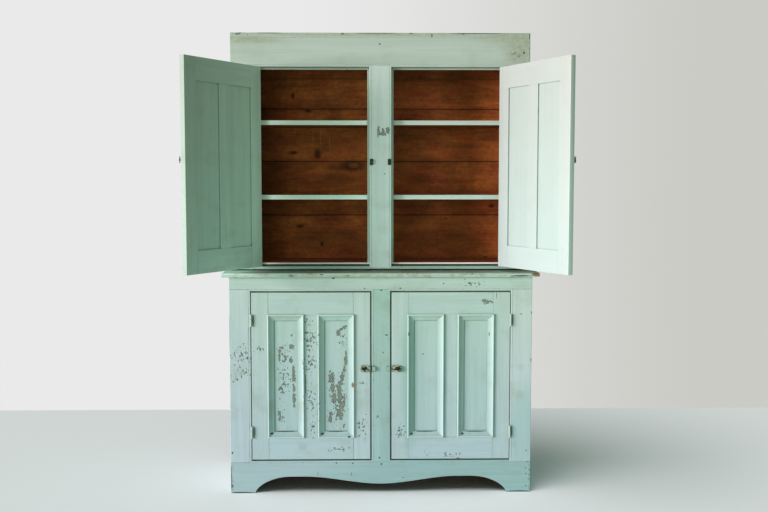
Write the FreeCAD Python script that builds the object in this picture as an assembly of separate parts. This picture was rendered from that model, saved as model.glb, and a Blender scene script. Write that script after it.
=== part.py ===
"""Step back cupboard: a low case with two doors, a shallower case with two doors on top.

Millimetres. +Z is up, the front faces -Y, and the origin is on the floor under the
middle of the base case.
"""

import FreeCAD
import Part
import os

Vector = FreeCAD.Vector
UP = Vector(0, 0, 1)
LEFT, RIGHT = -1, 1
os.makedirs("parts", exist_ok=True)

# ---------------------------------------------------------------- driving dimensions
# cases
case_width = 1300.0
base_depth = 430.0
base_height = 942.0
upper_height = 1030.0
step_back = 120.0            # front of the upper case behind the front of the base
waist_thickness = 18.0
waist_side_overhang = 28.0
waist_front_overhang = 23.0
waist_round = 5.4            # rounding of its upper front edge
side_thickness = 20.0
back_thickness = 16.0
top_thickness = 22.0
frame_thickness = 24.0       # face frames
board_thickness = 20.0       # shelves
floor_thickness = 16.0
floor_rise = 15.0            # floors stand this far above the sill and stop the doors

# face frames
upper_stile_width = 109.0
upper_centre_width = 96.0
upper_sill = 12.0            # bottom rail's height
upper_frame_gap = 5.0        # open joint between the waist board and the bottom rail
frieze_height = 124.0
base_stile_width = 91.0
base_centre_width = 80.0
base_rail_height = 61.0
apron_height = 142.0
bead_width = 8.0             # bead worked round each opening, mitred at the shoulders
quirk_width = 1.2
quirk_depth = 1.2
arris = 1.6                  # chamfer on the bead's corner
edge_round = 2.0             # softened front corners of the cases

# scalloped apron
foot_width = 105.0
arch_height = 72.0
arch_drop = 33.0             # how far the middle hangs below the two humps
cove_width = 155.0
cove_level = 85.0            # how far the cove's curve runs level before it turns down
cove_lean = 5.0              # how far it leans out over the foot
cove_steep = 30.0            # height at which it turns steep
hump_flat = 60.0

# inside
shelf_tops_upper = (1290.0, 1616.0)
shelf_top_base = 500.0
cleat_width = 20.0
cleat_height = 16.0
stop_thickness = 12.0
stop_show = 9.0              # how far a door stop shows past the face frame
stop_cover = 20.0            # how far it lies behind the rail
upper_back_boards = (233.0, 249.0, 242.0, 138.0, 146.0)
base_back_count = 4
base_back_clear = 60.0       # open height under the back boards

# doors
door_thickness = 23.0
hinge_gap = 3.0
upper_latch_gap = 3.0
base_latch_gap = 6.0
upper_top_gap = 3.0
upper_bottom_gap = 2.0
base_top_gap = 6.0
base_bottom_gap = 6.0
upper_door_stile = 68.0
upper_door_rail = 94.0
upper_door_muntin = 65.0
base_door_stile = 72.0
base_door_rail = 98.0
base_door_muntin = 66.0
panel_thickness = 8.0
panel_set_back = 9.0         # panel face behind the outer face of its door
groove_depth = 8.0
groove_play = 1.0
upper_left_open_deg = 121.3  # degrees the left upper door stands open
upper_right_open_deg = 116.8     # degrees the right upper door stands open

# bolection moulding round each panel, on the outside
mould_width = 30.0
mould_lap = 4.0              # part that lies on the door frame
mould_proud = 7.0
mould_bead = 7.0             # width of the rolled outer edge
mould_step = 1.0             # width of the step between the roll and the hollow
mould_toe = 2.0              # height of its inner edge above the panel
mould_edge_share = 0.45      # heights on its profile, as shares of mould_proud
mould_roll_share = 0.7
mould_hollow_share = 0.35    # depth of the hollow's middle, as a share of the toe's depth
mould_hollow_shift = 2.0     # how far that middle lies outward of the hollow's own middle

# butt hinges
hinge_height = 50.0
hinge_from_end = 120.0       # middle of a hinge from the end of its door
hinge_proud = 5.0            # pin centre in front of the door's face
knuckle_radius = 4.5
knuckle_count = 5
knuckle_play = 0.3
pin_radius = 2.0
pin_play = 0.05
pin_head = 1.5
pin_head_radius = 3.6
leaf_thickness = 1.4
leaf_depth = 18.0

# cupboard catches
catch_length = 40.0
catch_height = 26.0
catch_proud = 9.0
catch_wall = 2.0
catch_corner = 3.0
bolt_height = 12.0
bolt_thickness = 5.0
bolt_play = 0.3
bolt_travel = 13.0
bolt_inset = 0.5             # the drawn bolt's tip inside the end of its case
stem_radius = 2.0
knob_radius = 4.5
knob_reach = 15.0            # knob's middle in front of the door's face
keeper_length = 14.0
keeper_set_in = 1.5
keeper_wall = 2.4            # legs of the staple
keeper_ear = 2.0             # thickness of its two screw ears
upper_catch_z = 1434.0
base_catch_z = 545.0

overrun = 1.0                # how far a cutting shape runs past the wood or iron it cuts
same_place = 0.01            # distance that counts as the same place when edges are picked

# ---------------------------------------------------------------- derived places
half_width = case_width / 2
back_y = base_depth / 2
base_front = -base_depth / 2
upper_front = base_front + step_back
waist_top = base_height + waist_thickness
upper_top = waist_top + upper_height
inner_half = half_width - side_thickness
back_face = back_y - back_thickness
upper_frame_foot = waist_top + upper_frame_gap
upper_frame_head = upper_top - top_thickness


class Opening:
    """The pair of door openings in one case's face frame."""

    def __init__(self, front, stile, centre, low, high):
        self.front = front
        self.half = half_width - stile
        self.centre = centre / 2
        self.low = low
        self.high = high


upper = Opening(upper_front, upper_stile_width, upper_centre_width,
                upper_frame_foot + upper_sill, upper_frame_head - frieze_height)
base = Opening(base_front, base_stile_width, base_centre_width,
               apron_height, base_height - base_rail_height)


# ---------------------------------------------------------------- helpers
def block(x0, x1, y0, y1, z0, z1):
    return Part.makeBox(x1 - x0, y1 - y0, z1 - z0, Vector(x0, y0, z0))


def plate(outline, front, thickness):
    """A flat piece cut to an outline of (x, z) points, from front back by thickness."""
    points = [Vector(x, front, z) for x, z in outline]
    face = Part.Face(Part.makePolygon(points + points[:1]))
    return face.extrude(Vector(0, thickness, 0))


def mirrored(shape):
    return shape.mirror(Vector(0, 0, 0), Vector(1, 0, 0))


def export(node, shapes):
    """Write one node: a single solid, or a group of separate solids."""
    solids = [solid for shape in shapes for solid in shape.Solids]
    body = solids[0] if len(solids) == 1 else Part.makeCompound(solids)
    body.exportStep("parts/" + node + ".step")


def soften(shape, radius, chosen):
    """Round the edges that chosen(edge) picks."""
    return shape.makeFillet(radius, [edge for edge in shape.Edges if chosen(edge)])


def along_x_at(y, z):
    """Picks the edges along X that lie at y and z."""
    def chosen(edge):
        box = edge.BoundBox
        flat = max(box.YLength, box.ZLength) < same_place
        return flat and max(abs(box.YMin - y), abs(box.ZMin - z)) < same_place
    return chosen


def along_z_at(x, y):
    """Picks the edges along Z that lie at x and y."""
    def chosen(edge):
        box = edge.BoundBox
        flat = max(box.XLength, box.YLength) < same_place
        return flat and max(abs(box.XMin - x), abs(box.YMin - y)) < same_place
    return chosen


def along_y(edge):
    return max(edge.BoundBox.XLength, edge.BoundBox.ZLength) < same_place


# ---------------------------------------------------------------- face frames
def opening_rectangle(frame, side, grow):
    """Corners (x0, x1, z0, z1) of one opening, grown all round."""
    near, far = frame.centre, frame.half
    x0, x1 = (near, far) if side == RIGHT else (-far, -near)
    return x0 - grow, x1 + grow, frame.low - grow, frame.high + grow


def bead_cutter(frame, side):
    """Cuts the quirk that sets off the bead, and the bead's chamfered corner."""
    front = frame.front
    outer = opening_rectangle(frame, side, bead_width + quirk_width)
    inner = opening_rectangle(frame, side, bead_width)
    bottom = front + quirk_depth
    ring = block(outer[0], outer[1], front - overrun, bottom, outer[2], outer[3])
    quirk = ring.cut(block(inner[0], inner[1], front - 2 * overrun, bottom + overrun,
                           inner[2], inner[3]))
    wires = []
    for y, grow in ((front - overrun, arris + overrun), (front + arris + overrun, -overrun)):
        x0, x1, z0, z1 = opening_rectangle(frame, side, grow)
        corners = [Vector(x0, y, z0), Vector(x1, y, z0), Vector(x1, y, z1), Vector(x0, y, z1)]
        wires.append(Part.makePolygon(corners + corners[:1]))
    return [quirk, Part.makeLoft(wires, True, True)]


def beaded(frame, piece):
    for side in (LEFT, RIGHT):
        for cutter in bead_cutter(frame, side):
            piece = piece.cut(cutter)
    return piece


def outer_stile(frame):
    """Right-hand stile; it stands between the rails, with its bead mitred into theirs."""
    edge, root = frame.half, frame.half + bead_width
    head, foot = frame.high + bead_width, frame.low - bead_width
    outline = [(half_width, foot), (half_width, head), (root, head),
               (edge, frame.high), (edge, frame.low), (root, foot)]
    stile = beaded(frame, plate(outline, frame.front, frame_thickness))
    return soften(stile, edge_round, along_z_at(half_width, frame.front))


def centre_stile(frame):
    wide, narrow = frame.centre, frame.centre - bead_width
    outline = [(wide, frame.low), (wide, frame.high), (narrow, frame.high + bead_width),
               (-narrow, frame.high + bead_width), (-wide, frame.high), (-wide, frame.low),
               (-narrow, frame.low - bead_width), (narrow, frame.low - bead_width)]
    return beaded(frame, plate(outline, frame.front, frame_thickness))


def rail(frame, far_z, opening_z):
    """Rail across the whole case, from far_z to the opening's edge at opening_z."""
    toward_rail = 1 if far_z > opening_z else -1
    shoulder_z = opening_z + toward_rail * bead_width
    narrow = frame.centre - bead_width
    half = [(narrow, shoulder_z), (frame.centre, opening_z), (frame.half, opening_z),
            (frame.half + bead_width, shoulder_z), (half_width, shoulder_z), (half_width, far_z)]
    outline = half + [(-x, z) for x, z in reversed(half)]
    bar = beaded(frame, plate(outline, frame.front, frame_thickness))
    for side in (LEFT, RIGHT):
        bar = soften(bar, edge_round, along_z_at(side * half_width, frame.front))
    return bar


def apron():
    """Bottom rail of the base, scalloped into two humps between the feet."""
    foot = half_width - foot_width
    cove = foot - cove_width
    hump = cove - hump_flat
    middle = arch_height - arch_drop
    y = base.front - overrun

    def point(x, z):
        return Vector(x, y, z)

    def half_arch(side):
        swell = Part.BezierCurve()
        swell.setPoles([point(0, middle), point(side * hump / 3, middle),
                        point(side * hump * 2 / 3, arch_height), point(side * hump, arch_height)])
        cove_curve = Part.BezierCurve()
        cove_curve.setPoles([point(side * cove, arch_height),
                             point(side * (cove + cove_level), arch_height),
                             point(side * (foot - cove_lean), cove_steep),
                             point(side * foot, 0)])
        return [swell.toShape(),
                Part.makeLine(point(side * hump, arch_height), point(side * cove, arch_height)),
                cove_curve.toShape(),
                Part.makeLine(point(side * foot, 0), point(side * foot, -overrun))]

    edges = half_arch(RIGHT) + half_arch(LEFT)
    edges.append(Part.makeLine(point(-foot, -overrun), point(foot, -overrun)))
    arch = Part.Face(Part.Wire(Part.__sortEdges__(edges)))
    return rail(base, 0, base.low).cut(arch.extrude(Vector(0, frame_thickness + 2 * overrun, 0)))


def make_face_frames():
    for name, frame in (("upper", upper), ("base", base)):
        stile = outer_stile(frame)
        export(name + "_stile_right", [stile])
        export(name + "_stile_left", [mirrored(stile)])
        export(name + "_stile_centre", [centre_stile(frame)])
    export("upper_frieze", [rail(upper, upper_frame_head, upper.high)])
    export("upper_bottom_rail", [rail(upper, upper_frame_foot, upper.low)])
    export("base_top_rail", [rail(base, base_height, base.high)])
    export("base_apron", [apron()])


# ---------------------------------------------------------------- case boards
def make_cases():
    for name, frame, low, high in (("upper", upper, waist_top, upper_frame_head),
                                   ("base", base, 0, base_height)):
        side = block(inner_half, half_width, frame.front + frame_thickness, back_face, low, high)
        export(name + "_side_right", [side])
        export(name + "_side_left", [mirrored(side)])

    waist_front = base_front - waist_front_overhang
    waist_half = half_width + waist_side_overhang
    waist = block(-waist_half, waist_half, waist_front, back_y, base_height, waist_top)
    waist = soften(waist, waist_round, along_x_at(waist_front, waist_top))
    export("waist_board", [waist])

    top = block(-half_width, half_width, upper_front, back_y, upper_frame_head, upper_top)
    export("upper_top_board", [soften(top, edge_round, along_x_at(upper_front, upper_top))])

    z = waist_top
    boards = []
    for width in upper_back_boards[:-1]:
        boards.append(block(-half_width, half_width, back_face, back_y, z, z + width))
        z += width
    boards.append(block(-half_width, half_width, back_face, back_y, z, upper_frame_head))
    export("upper_back_boards", boards)

    width = (base_height - base_back_clear) / base_back_count
    boards = []
    for row in range(base_back_count):
        z = base_back_clear + row * width
        boards.append(block(-half_width, half_width, back_face, back_y, z, z + width))
    export("base_back_boards", boards)


def inside_board(front, top, thickness):
    return block(-inner_half, inner_half, front, back_face, top - thickness, top)


def make_insides():
    """Floors, shelves on their cleats, and door stops."""
    cleats = []
    for name, frame, tops in (("upper", upper, shelf_tops_upper), ("base", base, (shelf_top_base,))):
        frame_back = frame.front + frame_thickness
        stop_back = frame_back + stop_thickness
        floor_top = frame.low + floor_rise
        export(name + "_floor", [inside_board(frame_back, floor_top, floor_thickness)])
        boards = [inside_board(stop_back, top, board_thickness) for top in tops]
        export(name + "_shelves", boards)
        for top in tops:
            low = top - board_thickness - cleat_height
            cleat = block(inner_half - cleat_width, inner_half, stop_back, back_face,
                          low, low + cleat_height)
            cleats += [cleat, mirrored(cleat)]
        stop_low = frame.high - stop_show
        top_stop = block(-inner_half, inner_half, frame_back, stop_back,
                         stop_low, frame.high + stop_cover)
        reach = frame.centre + stop_show
        centre_stop = block(-reach, reach, frame_back, stop_back, floor_top, stop_low)
        export(name + "_door_stops", [top_stop, centre_stop])
    export("shelf_cleats", cleats)


# ---------------------------------------------------------------- doors
class Door:
    """One left-hand door in its closed place; the right-hand one is its mirror image."""

    def __init__(self, frame, latch_gap, top_gap, bottom_gap, stile, rail_height, muntin, catch_z):
        self.frame = frame
        self.front = frame.front
        self.hinge_edge = -frame.half + hinge_gap
        self.latch_edge = -frame.centre - latch_gap
        self.low = frame.low + bottom_gap
        self.high = frame.high - top_gap
        self.stile = stile
        self.rail = rail_height
        self.muntin = muntin
        self.catch_z = catch_z
        self.pin_x = -frame.half + hinge_gap / 2
        self.pin_y = frame.front - hinge_proud
        self.hinge_places = (self.low + hinge_from_end, self.high - hinge_from_end)

    def panel_openings(self):
        """(x0, x1) of the two panel openings between the stiles and the muntin."""
        x0 = self.hinge_edge + self.stile
        x1 = self.latch_edge - self.stile
        middle = (x0 + x1) / 2
        return (x0, middle - self.muntin / 2), (middle + self.muntin / 2, x1)


upper_door = Door(upper, upper_latch_gap, upper_top_gap, upper_bottom_gap,
                  upper_door_stile, upper_door_rail, upper_door_muntin, upper_catch_z)
base_door = Door(base, base_latch_gap, base_top_gap, base_bottom_gap,
                 base_door_stile, base_door_rail, base_door_muntin, base_catch_z)


def groove_span(door):
    """The panel groove's (y0, y1)."""
    y0 = door.front + panel_set_back
    return y0, y0 + panel_thickness


def door_joinery(door):
    """Stiles, rails and muntin, with a groove for the panels that also takes the tenons."""
    front, back = door.front, door.front + door_thickness
    g0, g1 = groove_span(door)
    openings = door.panel_openings()
    left, right = openings[0][0], openings[1][1]
    low, high = door.low + door.rail, door.high - door.rail
    deep = groove_depth

    stiles = []
    for x0, x1, g in ((door.hinge_edge, left, left - deep), (right, door.latch_edge, right)):
        stile = block(x0, x1, front, back, door.low, door.high)
        stiles.append(stile.cut(block(g, g + deep, g0, g1, door.low - overrun, door.high + overrun)))

    rails = []
    for z0, z1, g in ((door.low, low, low - deep), (high, door.high, high)):
        bar = block(left, right, front, back, z0, z1)
        bar = bar.fuse(block(left - deep, right + deep, g0, g1, z0, z1)).removeSplitter()
        rails.append(bar.cut(block(left - deep - overrun, right + deep + overrun, g0, g1, g, g + deep)))

    x0, x1 = openings[0][1], openings[1][0]
    muntin = block(x0, x1, front, back, low, high)
    muntin = muntin.fuse(block(x0, x1, g0, g1, low - deep, high + deep)).removeSplitter()
    for g in (x0, x1 - deep):
        muntin = muntin.cut(block(g, g + deep, g0, g1, low - deep - overrun, high + deep + overrun))
    return stiles, rails, [muntin]


def door_panels(door):
    g0, g1 = groove_span(door)
    bite = groove_depth - groove_play
    return [block(x0 - bite, x1 + bite, g0, g1, door.low + door.rail - bite,
                  door.high - door.rail + bite) for x0, x1 in door.panel_openings()]


def mould_strip(length):
    """One mitred length of moulding along X; its outer edge is at z = 0, its door face y = 0."""
    half = length / 2
    toe_top = mould_toe - panel_set_back

    def at(inward, proud):
        return Vector(-half, -proud, inward)

    edge = at(0, mould_proud * mould_edge_share)
    crown = at(mould_bead / 2, mould_proud)
    roll_foot = at(mould_bead, mould_proud * mould_roll_share)
    shoulder = at(mould_bead + mould_step, mould_proud * mould_edge_share)
    hollow = at((shoulder.z + mould_width) / 2 - mould_hollow_shift, toe_top * mould_hollow_share)
    toe = at(mould_width - mould_toe * 2, toe_top + mould_toe)
    corners = [toe, at(mould_width, toe_top), at(mould_width, -panel_set_back),
               at(mould_lap, -panel_set_back), at(mould_lap, 0), at(0, 0), edge]
    edges = [Part.Arc(edge, crown, roll_foot).toShape(), Part.makeLine(roll_foot, shoulder),
             Part.Arc(shoulder, hollow, toe).toShape()]
    edges += [Part.makeLine(a, b) for a, b in zip(corners, corners[1:])]
    strip = Part.Face(Part.Wire(edges)).extrude(Vector(length, 0, 0))
    far = mould_width + overrun
    depth = mould_proud + panel_set_back + 2 * overrun
    for end in (LEFT, RIGHT):
        corner, past = end * half, end * (half + overrun)
        triangle = [(past, -overrun), (past, far), (corner - end * far, far)]
        strip = strip.cut(plate(triangle, -mould_proud - overrun, depth))
    return strip


def mould_ring(width, height):
    """Four mitred lengths round a rectangle centred on the origin."""
    ring = []
    for turn in range(4):
        length, across = (width, height) if turn % 2 == 0 else (height, width)
        strip = mould_strip(length)
        strip.translate(Vector(0, 0, -across / 2))
        strip.rotate(Vector(0, 0, 0), Vector(0, 1, 0), 90 * turn)
        ring.append(strip)
    return ring


def door_moulding(door):
    strips = []
    low, high = door.low + door.rail, door.high - door.rail
    for x0, x1 in door.panel_openings():
        ring = mould_ring(x1 - x0 + 2 * mould_lap, high - low + 2 * mould_lap)
        for strip in ring:
            strip.translate(Vector((x0 + x1) / 2, door.front, (low + high) / 2))
        strips += ring
    return strips


# ---------------------------------------------------------------- hinges
def knuckles(door, z0, radius, first, play):
    """Every second knuckle of a hinge whose foot is at z0, shortened by play between knuckles."""
    step = hinge_height / knuckle_count
    rings = []
    for i in range(first, knuckle_count, 2):
        low = z0 + i * step + (play if i > 0 else 0)
        high = z0 + (i + 1) * step - (play if i < knuckle_count - 1 else 0)
        rings.append(Part.makeCylinder(radius, high - low, Vector(door.pin_x, door.pin_y, low), UP))
    return rings


def hinge_leaf(door, centre_z, x0, first):
    """A leaf in the gap from x0, with its knuckles; first is 0 on the case, 1 on the door."""
    z0 = centre_z - hinge_height / 2
    leaf = block(x0, x0 + leaf_thickness, door.pin_y, door.front + leaf_depth,
                 z0, z0 + hinge_height)
    for other in knuckles(door, z0, knuckle_radius + knuckle_play, 1 - first, 0):
        leaf = leaf.cut(other)
    for own in knuckles(door, z0, knuckle_radius, first, knuckle_play / 2):
        leaf = leaf.fuse(own)
    hole = Part.makeCylinder(pin_radius + pin_play, hinge_height + 2 * overrun,
                             Vector(door.pin_x, door.pin_y, z0 - overrun), UP)
    return leaf.cut(hole).removeSplitter()


def hinge_pin(door, centre_z):
    z0 = centre_z - hinge_height / 2
    pin = Part.makeCylinder(pin_radius, hinge_height, Vector(door.pin_x, door.pin_y, z0), UP)
    for z in (z0 - pin_head, z0 + hinge_height):
        head = Part.makeCylinder(pin_head_radius, pin_head, Vector(door.pin_x, door.pin_y, z), UP)
        pin = pin.fuse(head)
    return pin.removeSplitter()


# ---------------------------------------------------------------- catches
def catch_channel(door, x0, x1, play):
    """The space the bolt slides in, between x0 and x1."""
    middle = door.front - catch_wall - bolt_thickness / 2
    deep = bolt_thickness / 2 + play
    tall = bolt_height / 2 + play
    return block(x0, x1, middle - deep, middle + deep, door.catch_z - tall, door.catch_z + tall)


def stem_x(door):
    """The knob's stem when the bolt is drawn: it can travel and stay inside the case."""
    return door.latch_edge - catch_length / 2 - bolt_travel / 2


def catch_case(door):
    x0, x1 = door.latch_edge - catch_length, door.latch_edge
    z0 = door.catch_z - catch_height / 2
    case = block(x0, x1, door.front - catch_proud, door.front, z0, z0 + catch_height)
    case = soften(case, catch_corner, along_y)
    case = case.cut(catch_channel(door, x0 - overrun, x1 + overrun, bolt_play))
    width = stem_radius + bolt_play
    slot = block(stem_x(door) - width, stem_x(door) + bolt_travel + width,
                 door.front - catch_proud - overrun, door.front - catch_wall,
                 door.catch_z - width, door.catch_z + width)
    return case.cut(slot)


def catch_bolt(door):
    tip = door.latch_edge - bolt_inset
    bolt = catch_channel(door, tip - catch_length + 2 * bolt_inset, tip, 0)
    foot = Vector(stem_x(door), door.front - catch_wall - bolt_thickness / 2, door.catch_z)
    reach = knob_reach - catch_wall - bolt_thickness / 2
    stem = Part.makeCylinder(stem_radius, reach, foot, Vector(0, -1, 0))
    knob = Part.makeSphere(knob_radius, Vector(foot.x, door.front - knob_reach, foot.z))
    return bolt.fuse(stem).fuse(knob).removeSplitter()


def catch_keeper(door):
    """Staple on the centre stile that the bolt slides through, between two screw ears."""
    x0 = -door.frame.centre + keeper_set_in
    x1 = x0 + keeper_length
    inner = bolt_height / 2 + 2 * bolt_play
    outer = inner + keeper_wall
    bolt_front = door.front - catch_wall - bolt_thickness - 2 * bolt_play

    def on_stile(front, half_height, past):
        return block(x0 - past, x1 + past, front, door.front + past,
                     door.catch_z - half_height, door.catch_z + half_height)

    ears = on_stile(door.front - keeper_ear, catch_height / 2, 0)
    keeper = ears.fuse(on_stile(door.front - catch_proud, outer, 0)).removeSplitter()
    return keeper.cut(on_stile(bolt_front, inner, overrun))


# ---------------------------------------------------------------- assembly
def make_doors():
    case_leaves, pins, keepers = [], [], []
    for name, door, left_deg, right_deg in (
            ("upper", upper_door, upper_left_open_deg, upper_right_open_deg),
            ("base", base_door, 0, 0)):
        stiles, rails, muntins = door_joinery(door)
        door_leaf_x = door.hinge_edge - leaf_thickness
        case_leaf_x = -door.frame.half
        pieces = {
            "door_stiles": stiles,
            "door_rails": rails,
            "door_muntin": muntins,
            "door_panels": door_panels(door),
            "door_moulding": door_moulding(door),
            "hinge_leaves": [hinge_leaf(door, z, door_leaf_x, 1) for z in door.hinge_places],
            "catch_case": [catch_case(door)],
            "catch_bolt": [catch_bolt(door)],
        }
        for side, word, angle in ((LEFT, "left", -left_deg), (RIGHT, "right", right_deg)):
            centre = Vector(door.pin_x * -side, door.pin_y, 0)
            for piece, shapes in pieces.items():
                placed = [shape.copy() if side == LEFT else mirrored(shape) for shape in shapes]
                for shape in placed:
                    if angle:
                        shape.rotate(centre, UP, angle)
                export(name + "_" + word + "_" + piece, placed)
        for z in door.hinge_places:
            leaf, pin = hinge_leaf(door, z, case_leaf_x, 0), hinge_pin(door, z)
            case_leaves += [leaf, mirrored(leaf)]
            pins += [pin, mirrored(pin)]
        keeper = catch_keeper(door)
        keepers += [keeper, mirrored(keeper)]
    export("hinge_leaves_on_case", case_leaves)
    export("hinge_pins", pins)
    export("catch_keepers", keepers)


make_face_frames()
make_cases()
make_insides()
make_doors()
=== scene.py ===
"""Looks of the step back cupboard: aged mint paint, brown pine insides, iron and brass fittings.

Metres. +Z is up and the front faces -Y. Sizes and places typed in this file are millimetres.
"""
import math

import bpy
from mathutils import Matrix, Vector


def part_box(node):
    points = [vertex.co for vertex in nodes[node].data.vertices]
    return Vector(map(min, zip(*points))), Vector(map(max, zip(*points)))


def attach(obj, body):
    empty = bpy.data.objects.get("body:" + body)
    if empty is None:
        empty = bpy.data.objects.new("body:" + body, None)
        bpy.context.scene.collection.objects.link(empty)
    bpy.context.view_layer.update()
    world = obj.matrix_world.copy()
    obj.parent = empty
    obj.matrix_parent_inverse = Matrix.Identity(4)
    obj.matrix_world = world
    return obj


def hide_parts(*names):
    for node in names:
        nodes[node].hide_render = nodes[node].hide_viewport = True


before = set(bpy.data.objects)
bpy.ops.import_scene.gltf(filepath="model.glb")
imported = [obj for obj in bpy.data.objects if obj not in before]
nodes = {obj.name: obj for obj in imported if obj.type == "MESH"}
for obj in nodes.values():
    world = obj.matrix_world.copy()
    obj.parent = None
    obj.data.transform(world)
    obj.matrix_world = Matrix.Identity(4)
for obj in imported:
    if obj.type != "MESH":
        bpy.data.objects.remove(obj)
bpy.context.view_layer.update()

MM = 0.001
ALONG_X, ALONG_Z = "along x", "along z"
SMOOTH = {"interpolation_type": "SMOOTHSTEP"}
SCALED = {"operation": "SCALE"}    # a colour times the fourth input

# case and doors, as built
UPPER_FRONT, BASE_FRONT, WAIST_FRONT = -95, -215, -238
CASE_BACK, BACK_FACE = 215, 199    # outside and inside of the back boards
FRAME_THICK, STOP_THICK = 24, 12
HALF_WIDTH, INNER_HALF = 650, 630
WAIST_TOP = 960
CENTRE_HALF = {"upper": 48, "base": 40}    # half the width of the centre stile
FRONT = {"upper": UPPER_FRONT, "base": BASE_FRONT}
EDGE_PAINT = 2    # how far back the paint on a board's front edge reaches
STILE_ENDS = {"upper": (1852, 969), "base": (889, 134)}    # where rails meet the outer stiles
SIDES = ("_side_left", "_side_right")    # ends of the side boards' names
CATCH_Z = {"upper": 1434, "base": 545}
KNOB_X = {"upper": 78, "base": 73}    # of the drawn bolts' knobs, from the middle
RAIL_ENDS = (484, 118)    # of a base door's rails, from the middle
BOARD_ENDS = {  # feet of the back boards, from the lowest, and the head of the last
    "base": (60, 280, 501, 721, 942),
    "upper": (960, 1193, 1442, 1684, 1822, 1968),
}
DOOR_EDGES = {  # foot, head, hinge edge and latch edge of the left hand door, and its face
    "upper": (979, 1841, -538, -51, UPPER_FRONT),
    "base": (148, 875, -556, -46, BASE_FRONT),
}
DOORS = {  # pin (x, y), and the degrees that the door stands open, as a turn about +Z
    "upper_left": ((-539.5, -100), -121.3),
    "upper_right": ((539.5, -100), 116.8),
    "base_left": ((-557.5, -220), 0),
    "base_right": ((557.5, -220), 0),
}

# ---- colours, as sRGB hex
MINT_LOW, MINT_WAIST, MINT_TOP = "B0CBCC", "AECCBC", "A1B5A4"
# grime; grime with painted shade in corners; a painted shadow at a moulding's toe; dark joints and dots, also
# used for painted shadows beside the hinges and on the upper floor's edge
GRIME, CORNER_DIRT_AND_SHADE, FOOT_SHADOW, CRACK_DIRT_AND_SHADOW = "879470", "4A7360", "55806C", "2C4034"
ARRIS_RUB_AND_HIGHLIGHT, ROLL_RUB_AND_HIGHLIGHT = "DCEBDD", "D6EAE2"
KNOCKED, PINPRICK, CHIP_RIM_SHADOW, RUST = "5C5F49", "59695A", "465C4E", "774620"
GREY_WOOD = ("586656", "98A291")
LEDGE_DIRT_AND_SHADE = ("A3AE92", "59614A")    # at the front edge, further in: grime, with painted shade further in
SMUDGE, EDGE_WOOD, JOINT_SHADE_BLACK = "8A9579", "7E6F4C", "12160E"
CREAM = ("E4DCCB", "FAF4EC")
PINE, DRY_PINE = ("5A2E17", "B0682F"), ("5B4A36", "8A7657")
KNOT, TAN_KNOT, SCRATCH, BOARD_GAP = "1E1008", "8A5A30", "A87850", "120905"
JAPAN, STEEL, BLACK_BRASS = ("10150C", "2C3820"), ("1A2016", "4A5240"), ("0D110A", "2F3420")
NAIL_IRON = ("2A2B20", "5B4A34")
CATCH_COAT, HINGE_COAT, KEEPER_COAT = ("8FA07E", "BCCFB6"), ("A2BFAF", "C4DCCF"), ("8DB09C", "9ABEAB")
FLOOR_LIT, FLOOR_SEEN = "C6D4CB", "F4F5F6"
BACKDROP_SHADED_RIGHT = ("EAEAEA", "CBCBC6")    # on the left, on the right: darker to the right, painted shade

# ---- tones, from place to place
PAINT_SHINE, WOOD_SHINE, IRON_SHINE = 0.3, 0.12, 0.18    # how much each mirrors
DEEP = (0.76, 0.90, 0.85)    # share of red, green and blue kept where the paint is darker and greener
SIDE_DEPTH = (0.84, 0.88, 0.87)    # and in that of the sides, which hands and cleaning have left alone
CRACKS = {"base_left": 0.9, "base_right": 0.4}    # how dark the joints of a door show outside
DOOR_PAINTED_LIGHT = {"upper_right": (1.03, 0.93, 0.99), "upper_left": (1.07, 1.06, 1.03)}    # painted light: the paint of each open upper door toned to how lit that door looks
DOOR_PAINTED_LIGHT_ACROSS = {  # x on the closed door, tone: painted light and shade, the left door lighter toward its hinge edge, the right one bright on its latch edge and darker toward its hinge
    "upper_left": ((-538, 1.32), (-51, 0.88)),
    "upper_right": ((51.6, 1.45), (53.5, 1.06), (538, 0.92)),
}
LESS_DIRT_AND_SHADE = {"upper_right": (0.30, 0.35)}    # how thick grime and the painted corner shade lie, how much the brush marks show
# tones of the back boards, from the lowest; in the upper case they also paint the light and shade that each
# shelf space gets
BOARD_TONES = {"base": (0.9, 1.0, 0.85, 1.1), "upper": (1.0, 0.92, 1.02, 1.1, 1.05)}
TIGHT_SEAM = 1822    # foot of the board whose joint hardly shows
BACK_LIGHT_AND_SHADE_ALONG_X = ((-541, 0.75), (-420, 1.4), (-40, 1.4), (40, 1.08), (541, 1.45))    # x, tone: painted shade and light across the upper back, darkest at the left end, where the open left door shades it
EVEN = (1, 1, 1)
FRAME_TINTS = {
    "upper_frieze": (1.05, 1.04, 1.05), "upper_bottom_rail": DEEP,
    "upper_stile_left": EVEN, "upper_stile_right": EVEN, "upper_stile_centre": (1.3, 1.29, 1.36),
    "base_top_rail": EVEN, "base_apron": (0.90, 0.94, 0.95), "base_stile_left": (1.05, 1.02, 1.06),
    "base_stile_right": (1.13, 1.07, 1.10), "base_stile_centre": DEEP,
}
SHELF_EDGE_PAINTED_LIGHT = ((-541, 1.5), (-60, 2.0), (40, 1.25), (541, 1.1))    # x, tone: painted light on the shelf edges, strongest in the left bay, which the open left door shades
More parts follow.
